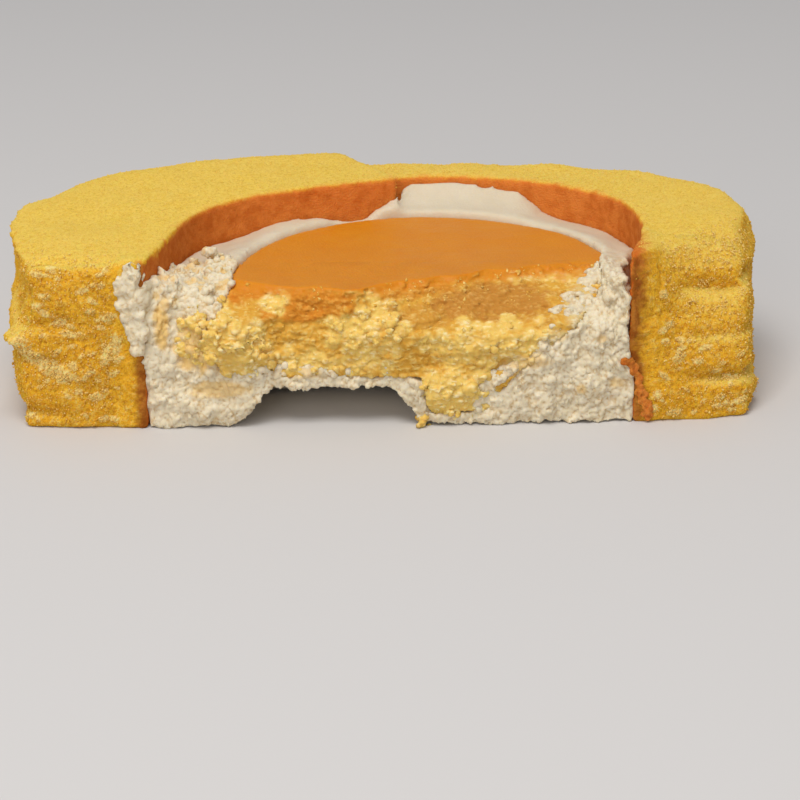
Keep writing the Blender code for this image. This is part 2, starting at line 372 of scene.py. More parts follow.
def flaked_part(places, normals):
    """Where paler crumb is dragged over the cut, from 0 to 1."""
    x, _, z = places.T / MM
    ragged = 1.2 * field(places, 0.55 * MM, 5.0, 2)
    total = np.zeros(len(places))
    for middle, height, wide, high, slant in FLAKES:
        off = ((x - middle) / wide) ** 2 + ((z - height - slant * (x - middle)) / high) ** 2
        total = np.maximum(total, 1.0 - step(0.6, 1.8, off + ragged))
    return total * step(0.2, 0.7, -normals[:, 1]) * (places[:, 1] < CUT_Y + 0.004)


def sponge_marks(piece, node, seed, fine):
    """Roughens the sponge, finely at the cut, and stores what its colour needs."""
    mesh = piece.data
    places, normals = points_of(mesh)
    wall, rim, tops = browned_wall(node)
    depth = np.array([wall.find_nearest(Vector(p))[3] for p in places])
    below = np.array([tops[rim.find((p[0], p[1], 0.0))[1]][2] - p[2] for p in places])
    ragged = 0.5 * field(places, 0.9 * MM, seed, 3) + 0.5 * field(places, 2.6 * MM, seed + 7.0, 2)
    right_end = (node == "sponge_right") * (1.0 - step(0.004, 0.014, places[:, 1] - CUT_Y))
    inside = 1.0 - step(0.0005, 0.0020, depth + 0.0009 * ragged - 0.0002 * right_end)
    front = (node == "sponge_left") * (1.0 - step(-0.022, -0.006, places[:, 1]))
    over = 0.0002 + 0.0004 * ragged + 0.0012 * front * (0.5 + field(places, 2.2 * MM, seed + 4.0, 3))
    over -= 0.0007 * right_end
    inside *= step(-0.0003, 0.0005, below - over)
    upright = 1.0 - step(0.3, 0.8, normals[:, 2])
    rough = field(places, 0.9 * MM, seed + 1.0, 3)
    swell = field(places, 3.5 * MM, seed + 2.0, 2)
    pits = 1.0 - curds(places, 0.75 * MM, seed + 3.0) if fine else 0.5 * rough
    flaked = flaked_part(places, normals) if fine else np.zeros(len(places))
    amount = (1.0 - 0.7 * inside) * step(0.0, 0.0008, places[:, 2])
    relief = (0.07 + 0.06 * upright) * rough + (0.10 + 0.14 * upright) * pits
    relief += 0.25 * upright * swell
    relief += flaked * (0.10 + 0.12 * rough)
    places += normals * (amount * MM * relief)[:, None]
    if fine:
        lean = 0.55 * np.maximum(0.0, places[:, 2] - 0.004)
        hidden = step(0.0022, 0.0030, places[:, 1] - CUT_Y - lean)
        places -= normals * (hidden * 0.3 * MM)[:, None]
    if node == "sponge_right":
        thick = (1.0 - step(0.0, 0.0030, depth)) * (0.4 + 0.9 * step(0.008, 0.013, places[:, 2]))
        thick *= (1.0 + 0.35 * ragged) * (1.0 - step(0.004, 0.012, places[:, 1] - CUT_Y))
        places[:, 0] -= thick * MM
    move_points(mesh, places)
    store(mesh, "browned", inside)
    at_cut = 1.0 - step(0.004, 0.006, places[:, 1] - CUT_Y)
    store(mesh, "cut", step(0.3, 0.8, -normals[:, 1]) * at_cut)
    store(mesh, "side", upright)
    store(mesh, "flaked", flaked)
    # Painted light: the skin is painted paler towards the back, where its wall faces the lamps, with
    # random clouds of it.
    clouds = 0.35 * field(places, 3.0 * MM, seed, 3)
    store(mesh, "painted_light", step(-0.010, 0.022, places[:, 1]) + clouds)
    # How far each place stands out; the colour uses it for painted light on the raised crumb and painted
    # shade in the hollows.
    store(mesh, "proud", 0.5 + 0.35 * rough + 0.3 * (pits - 0.5) if fine else 0.5 + 0.27 * rough)


def open_grain(places, normals):
    """Lumps sit on the cut, fewer on the top and outside, and hardly any below."""
    return np.where(normals[:, 2] < -0.5, 0.05, np.where(normals[:, 1] < -0.5, 1.6, 0.8))


sponge_bodies = {}
for side, seed, edge_x, folds in SPONGE_ENDS:
    node = "sponge_" + side
    piece = plain_copy(node, node + "_crumb")
    fuse(piece, BODY_VOXEL, 0)
    worn(piece, side, edge_x, folds)
    draw = np.random.default_rng(seed)
    spots, normals = scatter(piece.data, 2200, draw, open_grain)
    sizes = draw.uniform(0.20, 0.50, len(spots)) * MM
    join_into(piece, crumbs("lumps", spots - normals * sizes[:, None] * 0.6, sizes, 0.45, draw, 20))
    fuse(piece, LUMPY_VOXEL, 1)
    sponge_marks(piece, node, seed, False)
    sponge_bodies[side] = piece

# The sponge's cut ends again, as thin slabs in fine grain over the coarser bodies: open
# pits and torn crumb, with flakes of paler crumb that the knife dragged along.

# Each flake: x and height in millimetres, half length, half height, slant.
FLAKES = [
    (-57.5, 25.3, 1.0, 0.3, 0.1), (-54.8, 25.1, 1.4, 0.35, -0.1), (-55.4, 20.2, 0.8, 0.4, 0.2),
    (-54.0, 19.0, 1.0, 0.5, -0.3), (-52.0, 17.4, 1.1, 0.5, 0.1), (-50.4, 15.6, 1.3, 0.5, -0.2),
    (-48.1, 22.8, 1.0, 0.4, 0.4), (-46.6, 21.2, 0.8, 0.4, -0.3), (-44.2, 18.6, 1.2, 0.5, 0.2),
    (-45.4, 16.8, 0.7, 0.3, 0.0), (-43.2, 14.0, 0.8, 1.7, 0.5), (-44.8, 12.0, 0.9, 1.4, 0.6),
    (-58.4, 13.2, 1.8, 1.1, -0.3), (-56.2, 11.6, 1.8, 1.1, -0.4), (-53.4, 9.9, 2.0, 1.2, -0.3),
    (-51.6, 8.8, 1.6, 1.0, -0.1), (-50.0, 10.4, 0.7, 0.6, 0.0), (-49.0, 8.2, 0.9, 0.3, 0.1),
    (-47.4, 9.4, 0.6, 0.3, 0.0), (48.4, 18.4, 1.2, 0.35, 0.3), (46.4, 11.8, 0.6, 0.5, 0.0),
    (46.0, 10.2, 0.7, 0.6, 0.0), (42.8, 4.6, 0.6, 0.6, 0.0), (42.2, 2.4, 0.5, 0.6, 0.0),
    (55.4, 25.2, 1.2, 0.3, 0.3), (44.6, 15.6, 0.6, 0.4, 0.0), (52.6, 17.2, 1.2, 0.25, 0.1),
    (55.8, 6.2, 1.4, 0.3, 0.2), (56.0, 2.6, 1.4, 0.5, 0.3), (53.0, 3.6, 0.8, 0.4, 0.2),
    (-58.0, 14.6, 1.0, 0.4, -0.1), (-50.8, 8.6, 1.2, 0.5, 0.0), (50.6, 11.6, 0.9, 0.4, 0.0),
    (43.4, 20.4, 0.6, 0.6, 0.0), (-46.6, 5.2, 1.1, 0.5, 0.0), (-44.0, 9.0, 0.6, 0.4, 0.0),
]
draw = np.random.default_rng(70)
for index in range(90):
    side = -1.0 if index % 2 else 1.0
    wide = draw.uniform(0.25, 0.8)
    across, up = side * draw.uniform(42.5, 57.5), draw.uniform(1.0, 26.0)
    FLAKES.append((across, up, wide, 0.6 * wide, draw.normal() * 0.3))

sponge_ends = {}
for side, seed, edge_x, folds in SPONGE_ENDS:
    node = "sponge_" + side
    piece = slab(node, node + "_cut", 0.004 if side == "left" else 0.016)
    fuse(piece, BODY_VOXEL, 0)
    worn(piece, side, edge_x, folds)
    draw = np.random.default_rng(seed + 50)
    spots, normals = scatter(piece.data, 900, draw, open_grain)
    sizes = draw.uniform(0.20, 0.50, len(spots)) * MM
    join_into(piece, crumbs("lumps", spots - normals * sizes[:, None] * 0.5, sizes, 0.45, draw, 80))
    fuse(piece, 0.25 * MM, 1)
    sponge_marks(piece, node, seed, True)
    sponge_ends[side] = piece

# Egg sponge: matt and full of small holes. Shade is painted into its pores and the hollows of its
# relief, and light onto the raised crumbs, so its colour is deep in the hollows and pale on the crumbs.
# The baked skin is a thin, finely grained red-brown.
egg_sponge, shader = new_material("egg sponge, torn and cut")


def add_node(material, kind, output, settings=None, **inputs):
    """Adds a node and gives its output; an input is a value, a hex colour or an output."""
    made = material.node_tree.nodes.new(kind)
    for key, value in (settings or {}).items():
        setattr(made, key, value)
    for key, value in inputs.items():
        socket = made.inputs[int(key[2:]) if key[2:].isdigit() else key.replace("_", " ")]
        if isinstance(value, bpy.types.NodeSocket):
            material.node_tree.links.new(value, socket)
        else:
            socket.default_value = linear(value) if isinstance(value, str) else value
    return made.outputs[output]


def finish_food(material, shader, colour, height, strength, depth, roughness, gloss):
    """Sets the food's colour, relief and shine."""
    relief = {"Height": height, "Strength": strength, "Distance": depth}
    bump = add_node(material, "ShaderNodeBump", "Normal", **relief)
    material.node_tree.links.new(colour, shader.inputs["Base Color"])
    material.node_tree.links.new(bump, shader.inputs["Normal"])
    shader.inputs["Roughness"].default_value = roughness
    shader.inputs["Specular IOR Level"].default_value = gloss


def let_light_in(shader, weight, radius, scale):
    """Sets how much light passes into the food, how far, and for which colours."""
    shader.inputs["Subsurface Weight"].default_value = weight
    shader.inputs["Subsurface Radius"].default_value = radius
    shader.inputs["Subsurface Scale"].default_value = scale


mixed = {"data_type": "RGBA"}
times = {"operation": "MULTIPLY"}
smooth = {"interpolation_type": "SMOOTHSTEP"}

# Noise that is fixed to the cake: the size of its grain in millimetres, and its detail.
place = add_node(egg_sponge, "ShaderNodeTexCoord", "Object")
noises = {}
for name, size, detail in (
    ("grain", 0.30, 2.0), ("patches", 5.0, 2.0), ("flecks", 0.9, 3.0), ("mottle", 0.65, 1.0),
    ("blotch", 2.2, 4.0),
):
    grain_of = {"Vector": place, "Scale": 1.0 / (size * MM), "Detail": detail, "Roughness": 0.6}
    noises[name] = add_node(egg_sponge, "ShaderNodeTexNoise", "Fac", **grain_of)

# The marks kept on the mesh, from 0 to 1.
marks = {}
for name in ("proud", "side", "flaked", "painted_light", "cut", "browned"):
    marks[name] = add_node(egg_sponge, "ShaderNodeAttribute", "Fac", {"attribute_name": name})

# Each amount goes smoothly from low to high while its number goes from start to end.
amounts = {}
for name, number, start, end, low, high in (
    ("flecks", noises["flecks"], 0.56, 0.68, 0.0, 0.7),
    ("holes", noises["grain"], 0.52, 0.36, 0.0, 0.6),
    ("mottle", noises["mottle"], 0.44, 0.60, 0.0, 0.5),
    # Painted light and shade: proud and deep follow the relief, paler on the raised crumb and darker in
    # its hollows.
    ("proud", marks["proud"], 0.55, 0.95, 0.0, 0.4),
    ("deep", marks["proud"], 0.48, 0.12, 0.0, 0.65),
    ("blotch", noises["blotch"], 0.36, 0.62, -0.25, 0.40),
    ("cut skin", noises["blotch"], 0.42, 0.60, 0.0, 1.0),
):
    limits = {"From_Min": start, "From_Max": end, "To_Min": low, "To_Max": high}
    amounts[name] = add_node(egg_sponge, "ShaderNodeMapRange", 0, smooth, Value=number, **limits)
side_flecks = add_node(
    egg_sponge, "ShaderNodeMath", 0, times, in0=amounts["flecks"], in1=marks["side"]
)
# The wall skin is paler in random blotches, and paler towards the back as painted light.
skin_blotch_and_painted_light = add_node(
    egg_sponge, "ShaderNodeMath", 0, {"use_clamp": True}, in0=amounts["blotch"], in1=marks["painted_light"]
)

# The colours, layer by layer: the name, how much of the second colour shows, and the
# first and the second colour, each a hex code or a layer above.
layers = {}
for name, amount, first, second in (
    # The sides are a deeper orange than the top: partly the cut crumb's own colour, and partly painted
    # light, standing for light bounced about in the open pores.
    ("top", noises["patches"], "#e8bd45", "#f0cb60"),
    ("side", noises["patches"], "#e6a522", "#f0bb38"),
    ("crumb", marks["side"], "top", "side"),
    ("flecked", side_flecks, "crumb", "#ecca6a"),
    # Painted shade: the pores of the grain are painted as darker specks.
    ("hole", marks["side"], "#cb962a", "#cc8e22"),
    ("open grain", amounts["holes"], "flecked", "hole"),
    ("mottle", marks["side"], "#f1cf64", "open grain"),
    ("mottled", amounts["mottle"], "open grain", "mottle"),
    # Painted light on the raised crumb, then painted shade in the hollows of the relief.
    ("crumb with painted light", amounts["proud"], "mottled", "#f4da86"),
    ("deep hole", marks["side"], "#deaa34", "#c2881f"),
    ("grain with painted shade", amounts["deep"], "crumb with painted light", "deep hole"),
    ("flaked", marks["flaked"], "grain with painted shade", "#f3d88a"),
    ("dark skin", noises["grain"], "#c2621c", "#d2722c"),
    ("light skin", noises["grain"], "#dc7d2e", "#e99046"),
    ("wall skin", skin_blotch_and_painted_light, "dark skin", "light skin"),
    # Painted shade: the skin is darker where the cut crosses it, as it lies in shade at the cut ends.
    ("cut skin", amounts["cut skin"], "#98561a", "#b8752c"),
    ("skin", marks["cut"], "wall skin", "cut skin"),
    ("sponge", marks["browned"], "flaked", "skin"),
):
    pair = {"in6": layers.get(first, first), "in7": layers.get(second, second)}
    layers[name] = add_node(egg_sponge, "ShaderNodeMix", 2, mixed, in0=amount, **pair)
finish_food(egg_sponge, shader, layers["sponge"], noises["grain"], 0.9, 0.3 * MM, 0.9, 0.1)
let_light_in(shader, 0.45, (1.0, 0.65, 0.25), 1.6 * MM)
for side, piece in sponge_bodies.items():
    piece.data.materials.append(egg_sponge)
    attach(piece, "root")
    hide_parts("sponge_" + side)
for piece in sponge_ends.values():
    piece.data.materials.append(egg_sponge)
    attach(piece, "root")

# Fine crumbs stand off the sponge all over, where it was cut and rubbed, and soften
# its outline. They are half sunk in it, and the skin by the filling has none.


def add_piece(name, mesh, material):
    """Makes a piece that rides with the cake from a mesh."""
    piece = bpy.data.objects.new(name, mesh)
    scene.collection.objects.link(piece)
    mesh.materials.append(material)
    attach(piece, "root")
    return piece


def facing_filling(places, normals):
    """How directly each place faces the middle of the filling."""
    towards = np.array(FILLING_MIDDLE) - places[:, :2]
    towards /= np.linalg.norm(towards, axis=1)[:, None]
    return (normals[:, :2] * towards).sum(axis=1)


def fuzzy(places, normals):
    """Crumbs lie everywhere but below and on the baked skin."""
    skin = (facing_filling(places, normals) > 0.5) & (places[:, 1] > CUT_Y + 0.001)
    return np.where(skin | (normals[:, 2] < -0.4), 0.0, 1.0)


def dry_crumb(name, mark, first, second, strength, gloss):
    """Sponge crumb in fine grain, from one colour to another by a mark on the mesh."""
    made, shader = new_material(name)
    place = add_node(made, "ShaderNodeTexCoord", "Object")
    fine = {"Vector": place, "Scale": 1.0 / (0.3 * MM), "Detail": 2.0, "Roughness": 0.6}
    grain = add_node(made, "ShaderNodeTexNoise", "Fac", **fine)
    tone = add_node(made, "ShaderNodeAttribute", "Fac", {"attribute_name": mark})
    colour = add_node(made, "ShaderNodeMix", 2, mixed, in0=tone, in6=first, in7=second)
    finish_food(made, shader, colour, grain, strength, 0.1 * MM, 0.9, gloss)
    return made


# Rubbed crumb of the same sponge: matt, and dry enough that no light passes through.
fine_crumb = dry_crumb("fine egg sponge crumb", "side", "#eecb64", "#e6b23a", 0.3, 0.1)
for side, piece in sponge_bodies.items():
    draw = np.random.default_rng(40 + len(side))
    spots, normals = scatter(piece.data, 11000, draw, fuzzy)
    sizes = draw.uniform(0.10, 0.25, len(spots)) * MM
    lift = sizes * np.where(normals[:, 2] > 0.6, 0.1, 0.35)
    wall = browned_wall("sponge_" + side)[0]
    bare = np.array([wall.find_nearest(Vector(p))[3] < 0.0018 for p in spots])
    bare &= spots[:, 1] < CUT_Y + 0.004
    spots[bare] -= normals[bare] * 0.6 * MM
    mesh = crumbs("sponge_fuzz_" + side, spots + normals * lift[:, None], sizes, 0.6, draw, 8)
    mesh.shade_smooth()
    add_piece("sponge_fuzz_" + side, mesh, fine_crumb)
    # The fuzz on the sides is a deeper orange too: partly painted bounce light, as on the sponge, and
    # partly random tone.
    store(mesh, "side", np.repeat((normals[:, 2] < 0.5) * draw.uniform(0.5, 1.0, len(spots)), 6))

# Loose crumbs lie on the two cut sponge faces, where the knife dragged crumb along:
# half sunk, palest and thickest on the flakes. They are matt and dry, from golden to
# nearly white, and each has its own tone; those facing up are painted pale as painted light.
pale_crumb = dry_crumb("pale loose sponge crumb", "tone", "#d99e2c", "#f4d684", 0.2, 0.05)
SPRINKLED = 1900


def tree_of(pieces):
    """One search tree over the surfaces of several pieces."""
    places, rings = [], []
    for piece in pieces:
        start = len(places)
        places += [v.co.copy() for v in piece.data.vertices]
        rings += [[start + i for i in face.vertices] for face in piece.data.polygons]
    return BVHTree.FromPolygons(places, rings)


def on_cut(tree, spots):
    """The cut face's places and normals straight behind each x and height."""
    places, normals, found = [], [], []
    for index, (x, z) in enumerate(spots):
        start = Vector((x * MM, -0.08, z * MM))
        hit, normal, _, _ = tree.ray_cast(start, Vector((0.0, 1.0, 0.0)))
        if hit and hit.y < CUT_Y + 0.022 and hit.z > 0.0004:
            places.append(hit)
            normals.append(normal)
            found.append(index)
    return np.array(places), np.array(normals), found


draw = np.random.default_rng(71)
sponge_tree = tree_of([*sponge_bodies.values(), *sponge_ends.values()])
spots, tones = [], []
for x, z, wide, high, slant in FLAKES:
    count = int(6 + 34 * wide * high)
    across, up = draw.normal(size=(2, count)) * 0.65
    heights = np.clip(z + high * up + slant * wide * across, 0.4, 27.2)
    spots += list(zip(x + wide * across, heights))
    tones += list(draw.uniform(0.45, 1.0, count))
for side in (-1.0, 1.0):
    across = side * draw.uniform(43.6, 60.0, SPRINKLED)
    spots += list(zip(across, draw.uniform(0.5, 27.5, SPRINKLED)))
    tones += list(draw.uniform(0.0, 0.7, SPRINKLED) ** 1.5)
places, normals, found = on_cut(sponge_tree, spots)
places += normals * (draw.uniform(-0.1, 0.3, (len(places), 1)) * MM)
sizes = draw.uniform(0.13, 0.29, len(places)) * MM
mesh = crumbs("sponge_flakes", places, sizes, 0.6, draw, 8)
mesh.shade_smooth()
add_piece("sponge_flakes", mesh, pale_crumb)
# Painted light: crumbs that face up are painted pale, as if lit from above.
tones_and_top_light = np.maximum(np.array(tones)[found], 0.8 * step(0.15, 0.5, normals[:, 2]))
store(mesh, "tone", np.repeat(tones_and_top_light, 6))

# The cream is whipped and sweetened. It was spread round the cheesecake and drawn up
# the back wall with a spatula, so it is smooth above and broken open at the cut.


def broken_part(places, normals):
    """How far each place of the filling belongs to its torn face, from 0 to 1."""
    behind = places[:, 1] - CUT_Y
    lean = 0.0136 * step(0.0150, 0.0240, places[:, 2])
    front = (1.0 - step(0.001, 0.004, behind - lean)) * step(0.15, 0.5, -normals[:, 1])
    left_reach = (1.0 - step(0.0160, 0.0190, behind)) * (1.0 - step(-0.0255, -0.0230, places[:, 0]))
    left_reach *= step(0.016, 0.019, places[:, 2]) * step(-0.2, 0.2, normals[:, 2] - 0.5 * normals[:, 1])
    right_reach = (1.0 - step(0.010, 0.028, behind)) * step(0.0320, 0.0345, places[:, 0])
    right_reach *= step(0.011, 0.015, places[:, 2]) * step(-0.7, -0.3, normals[:, 2])
    return np.maximum(front, np.maximum(left_reach, right_reach))


def cream_marks(piece, seed, fine):
    """Shapes the cream: soft above, curdled where torn, and close to its neighbours."""
    mesh = piece.data
    places, normals = points_of(mesh)
    torn = broken_part(places, normals)
    outwards = -facing_filling(places, normals)
    level = 1.0 - step(0.5, 0.9, np.abs(normals[:, 2]))
    beside = (step(0.3, 0.7, outwards) * 0.60 + step(0.3, 0.7, -outwards) * 0.50) * level
    soft = 0.22 * field(places, 5.0 * MM, 5.0, 2)
    climb = np.clip((places[:, 2] - 0.0234) / 0.0034, 0.0, 1.0) * (places[:, 1] > 0.0)
    soft -= 0.9 * np.sin(np.pi * climb) * step(0.1, 0.5, normals[:, 2])
    behind = places[:, 1] - CUT_Y
    behind_face = step(0.002, 0.005, behind) * step(0.009, 0.012, places[:, 2])
    narrow = 1.1 * step(0.007, 0.011, places[:, 2])
    narrow += np.maximum(1.5 * behind_face, 0.9 * step(0.0210, 0.0235, places[:, 2]))
    narrow *= (1.0 - step(0.012, 0.026, behind)) * step(0.033, 0.038, places[:, 0])
    cavity = ((places[:, 0] + 0.0370) / 0.0011) ** 2 + ((places[:, 2] - 0.0238) / 0.0036) ** 2
    calm = 1.0 - 0.6 * (1.0 - step(-0.0385, -0.0365, places[:, 0]))
    big = curds(places, 2.1 * MM, seed)
    middle = curds(places, 0.95 * MM, seed + 3.0)
    small = curds(places, 0.50 * MM, seed + 1.0)
    swell = field(places, 3.0 * MM, seed + 2.0, 3)
    relief = calm * (0.30 * big + 0.30 * middle + 0.16 * small) + 0.50 * swell - 0.25
    covered = 0.0 if fine else 1.0 - step(0.0132, 0.0146, behind)
    relief = relief * (1.0 - covered) - 0.8 * covered
    places += normals * ((torn * relief + (1.0 - torn) * (soft + beside)) * MM)[:, None]
    places[:, 0] -= MM * narrow
    places[:, 1] += 2.2 * MM * np.exp(-cavity) * torn
    move_points(mesh, places)
    even = relaxed(mesh, 3)
    places += (even - places) * (1.0 - torn)[:, None]
    wobble = 0.35 * field(places, 1.4 * MM, 9.0, 2) * step(0.026, 0.032, places[:, 0])
    wobble = wobble * level * (1.0 - torn)
    places += normals * (wobble * step(0.016, 0.019, places[:, 2]) * MM)[:, None]
    move_points(mesh, places)
    store(mesh, "torn", torn)
    store(mesh, "proud", 0.15 + 0.20 * big + 0.35 * middle + 0.25 * small)


cream = plain_copy("cream", "cream_body")
fuse(cream, 0.55 * MM, 2)
cream_marks(cream, 4.0, False)

# Whipped cream: near white and softly shining, with light passing a millimetre or two
# into it. Crumb and custard tint it where it is broken, and shade is painted into the creases of its
# torn face.
whipped_cream, shader = new_material("whipped cream")
place = add_node(whipped_cream, "ShaderNodeTexCoord", "Object")
noises = {}
for name, size, detail in (
    ("grain", 0.4, 2.0), ("smooth", 4.0, 3.0), ("torn", 1.5, 3.0), ("custard", 1.2, 3.0),
):
    grain_of = {"Vector": place, "Scale": 1.0 / (size * MM), "Detail": detail, "Roughness": 0.6}
    noises[name] = add_node(whipped_cream, "ShaderNodeTexNoise", "Fac", **grain_of)
marks = {}
for name in ("proud", "torn", "stained"):
    marks[name] = add_node(whipped_cream, "ShaderNodeAttribute", "Fac", {"attribute_name": name})
# Painted shade: the torn cream is darker where it lies low between its curds.
limits = {"From_Min": 0.55, "From_Max": 0.15, "To_Min": 0.0, "To_Max": 0.8}
deep = add_node(whipped_cream, "ShaderNodeMapRange", 0, smooth, Value=marks["proud"], **limits)
torn_crease_shade = add_node(whipped_cream, "ShaderNodeMath", 0, times, in0=deep, in1=marks["torn"])
layers = {}
for name, amount, first, second in (
    ("smooth", noises["smooth"], "#ddd0b8", "#cfc0a4"),
    ("torn", noises["torn"], "#eae1cc", "#dac79f"),
    ("cream", marks["torn"], "smooth", "torn"),
    ("cream with painted crease shade", torn_crease_shade, "cream", "#c59f62"),
    ("custard", noises["custard"], "#d9a648", "#efd08a"),
    ("stained", marks["stained"], "cream with painted crease shade", "custard"),
):
    pair = {"in6": layers.get(first, first), "in7": layers.get(second, second)}
    layers[name] = add_node(whipped_cream, "ShaderNodeMix", 2, mixed, in0=amount, **pair)
finish_food(whipped_cream, shader, layers["stained"], noises["grain"], 0.45, 0.2 * MM, 0.5, 0.3)
let_light_in(shader, 0.35, (1.0, 0.8, 0.5), 0.8 * MM)
cream.data.materials.append(whipped_cream)
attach(cream, "root")
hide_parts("cream")

# The core is a small round cheesecake, baked in its own tin: a smooth orange-brown top
# on a moist, pale yellow inside that crumbles where it is torn.


def curd_marks(piece, seed, fine):
    """Shapes the cheesecake: an even top, and rough flat layers where it is torn."""
    mesh = piece.data
    places, normals = points_of(mesh)
    torn = broken_part(places, normals)
    top = step(0.0206, 0.0220, places[:, 2] + 0.0005 * field(places, 1.6 * MM, 6.0))
    top *= step(0.1, 0.6, normals[:, 2])
    flat = places * np.array((0.62, 1.0, 1.35))
    big = curds(flat, 1.7 * MM, seed)
    middle = curds(flat, 0.80 * MM, seed + 3.0)
    small = curds(flat, 0.45 * MM, seed + 1.0)
    swell = field(flat, 3.0 * MM, seed + 2.0, 3)
    rough = 0.14 * field(flat, 0.55 * MM, seed + 5.0, 2)
    relief = 0.20 * big + 0.25 * middle + 0.20 * small + 0.60 * swell + rough - 0.20 if fine else -0.8
    relief = relief * np.ones(len(places)) * torn * (1.0 - top)
    hidden = (1.0 - torn) * step(0.3, 0.7, 1.0 - normals[:, 2]) * 0.30
    wrinkles = 0.05 * top * field(places * np.array((0.5, 1.0, 1.0)), 1.6 * MM, 8.0, 2)
    places += normals * ((relief + hidden + wrinkles) * MM)[:, None]
    move_points(mesh, places)
    store(mesh, "baked", top)
    store(mesh, "proud", 0.1 + 0.25 * big + 0.35 * middle + 0.25 * small)


cheesecake = plain_copy("cheesecake", "cheesecake_body")
fuse(cheesecake, 0.55 * MM, 1)
curd_marks(cheesecake, 7.0, False)

# Baked cheesecake: satin where the top has browned, and matt and moist inside, with light painted
# on the raised crumbs and shade painted between them, so the curd is paler on the crumbs than between
# them.
baked_curd, shader = new_material("baked cheesecake")
place = add_node(baked_curd, "ShaderNodeTexCoord", "Object")
noises = {}
for name, size in (("blotch", 5.0), ("grain", 0.5)):
    grain_of = {"Vector": place, "Scale": 1.0 / (size * MM), "Detail": 3.0, "Roughness": 0.6}
    noises[name] = add_node(baked_curd, "ShaderNodeTexNoise", "Fac", **grain_of)
marks = {}
for name in ("proud", "tan", "pale", "creamy", "orange", "baked"):
    marks[name] = add_node(baked_curd, "ShaderNodeAttribute", "Fac", {"attribute_name": name})
# Painted light and shade: each curd colour is paler on the raised crumbs and darker between them.
limits = {"From_Min": 0.40, "From_Max": 0.85, "To_Min": 0.0, "To_Max": 0.8}
proud = add_node(baked_curd, "ShaderNodeMapRange", 0, smooth, Value=marks["proud"], **limits)
layers = {}
for name, amount, first, second in (
    ("inside", noises["blotch"], "#d39832", "#deac48"),
    ("pale curd", proud, "#eac568", "#fdeebe"),
    ("shaded overhang curd", proud, "#c08434", "#d9a659"),
    ("orange curd", proud, "#cf7c1c", "#e49c38"),
    ("creamy curd", proud, "#dcc38a", "#f0e8d2"),
    ("crumbs", proud, "inside", "#ecd07e"),
    ("with overhang shade", marks["tan"], "crumbs", "shaded overhang curd"),
    ("with pale", marks["pale"], "with overhang shade", "pale curd"),
    ("with creamy", marks["creamy"], "with pale", "creamy curd"),
    ("with orange", marks["orange"], "with creamy", "orange curd"),
    ("baked top", noises["blotch"], "#d27d13", "#da8a1b"),
    ("curd", marks["baked"], "with orange", "baked top"),
):
    pair = {"in6": layers.get(first, first), "in7": layers.get(second, second)}
    layers[name] = add_node(baked_curd, "ShaderNodeMix", 2, mixed, in0=amount, **pair)

# Towards the back the baked top has fine creases, drawn out from side to side.
drawn_out = add_node(baked_curd, "ShaderNodeVectorMath", 0, times, in0=place, in1=(0.3, 1.0, 1.0))
fine = {"Vector": drawn_out, "Scale": 1.0 / (0.7 * MM), "Detail": 2.0}
creased = add_node(baked_curd, "ShaderNodeTexNoise", "Fac", **fine)
distance_back = add_node(baked_curd, "ShaderNodeSeparateXYZ", "Y", Vector=place)
limits = {"From_Min": -0.004, "From_Max": 0.012, "To_Min": 0.0, "To_Max": 1.6}
back = add_node(baked_curd, "ShaderNodeMapRange", 0, smooth, Value=distance_back, **limits)
sum_of = {"in0": creased, "in1": back, "in2": noises["grain"]}
relief = add_node(baked_curd, "ShaderNodeMath", 0, {"operation": "MULTIPLY_ADD"}, **sum_of)
finish_food(baked_curd, shader, layers["curd"], relief, 0.6, 0.2 * MM, 0.45, 0.18)

# The browned top is satin, and the torn inside is matt.
limits = {"From_Min": 0.0, "From_Max": 1.0, "To_Min": 0.75, "To_Max": 0.42}
dryness = add_node(baked_curd, "ShaderNodeMapRange", 0, smooth, Value=marks["baked"], **limits)
baked_curd.node_tree.links.new(dryness, shader.inputs["Roughness"])
let_light_in(shader, 0.3, (1.0, 0.65, 0.3), 0.8 * MM)
cheesecake.data.materials.append(baked_curd)
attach(cheesecake, "root")
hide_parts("cheesecake")

# The torn face of the cream: curds and rags of it, fused together and standing out of
# the cut, and smeared over the sponge on the left.
# The smear's outline in millimetres: x, then height, as in all the outlines below.
FACE_DEPTH = 0.0150
SMEAR = [
    (-36.5, 0.3), (-37.2, 4.8), (-38.2, 9.9), (-39.6, 13.3), (-41.0, 16.6), (-42.6, 21.6),
    (-42.8, 24.1), (-41.6, 27.0), (-39.5, 27.6), (-36.5, 26.0), (-34.5, 20.0), (-33.5, 10.0),
    (-31.0, 0.3),
]


def in_outline(outline, spots):
    """Which of the spots lie inside a closed outline."""
    inside = np.zeros(len(spots), bool)
    for (x0, z0), (x1, z1) in zip(outline, outline[1:] + outline[:1]):
        crosses = (z0 > spots[:, 1]) != (z1 > spots[:, 1])
        at = x0 + (spots[:, 1] - z0) * (x1 - x0) / ((z1 - z0) or 1e-9)
        inside ^= crosses & (spots[:, 0] < at)
    return inside


def fill_outline(outline, count, draw):
    """Random spots inside a closed outline."""
    corners = np.array(outline)
    spots = draw.uniform(corners.min(axis=0), corners.max(axis=0), (count * 4, 2))
    return spots[in_outline(outline, spots)][:count]


def broken(places, normals):
    """The torn front of a piece and its ragged lower edge."""
    edge = (normals[:, 2] < -0.3) * (places[:, 1] < CUT_Y + 0.003) * (places[:, 2] > 0.002)
    return (broken_part(places, normals) > 0.5) + edge * 0.8


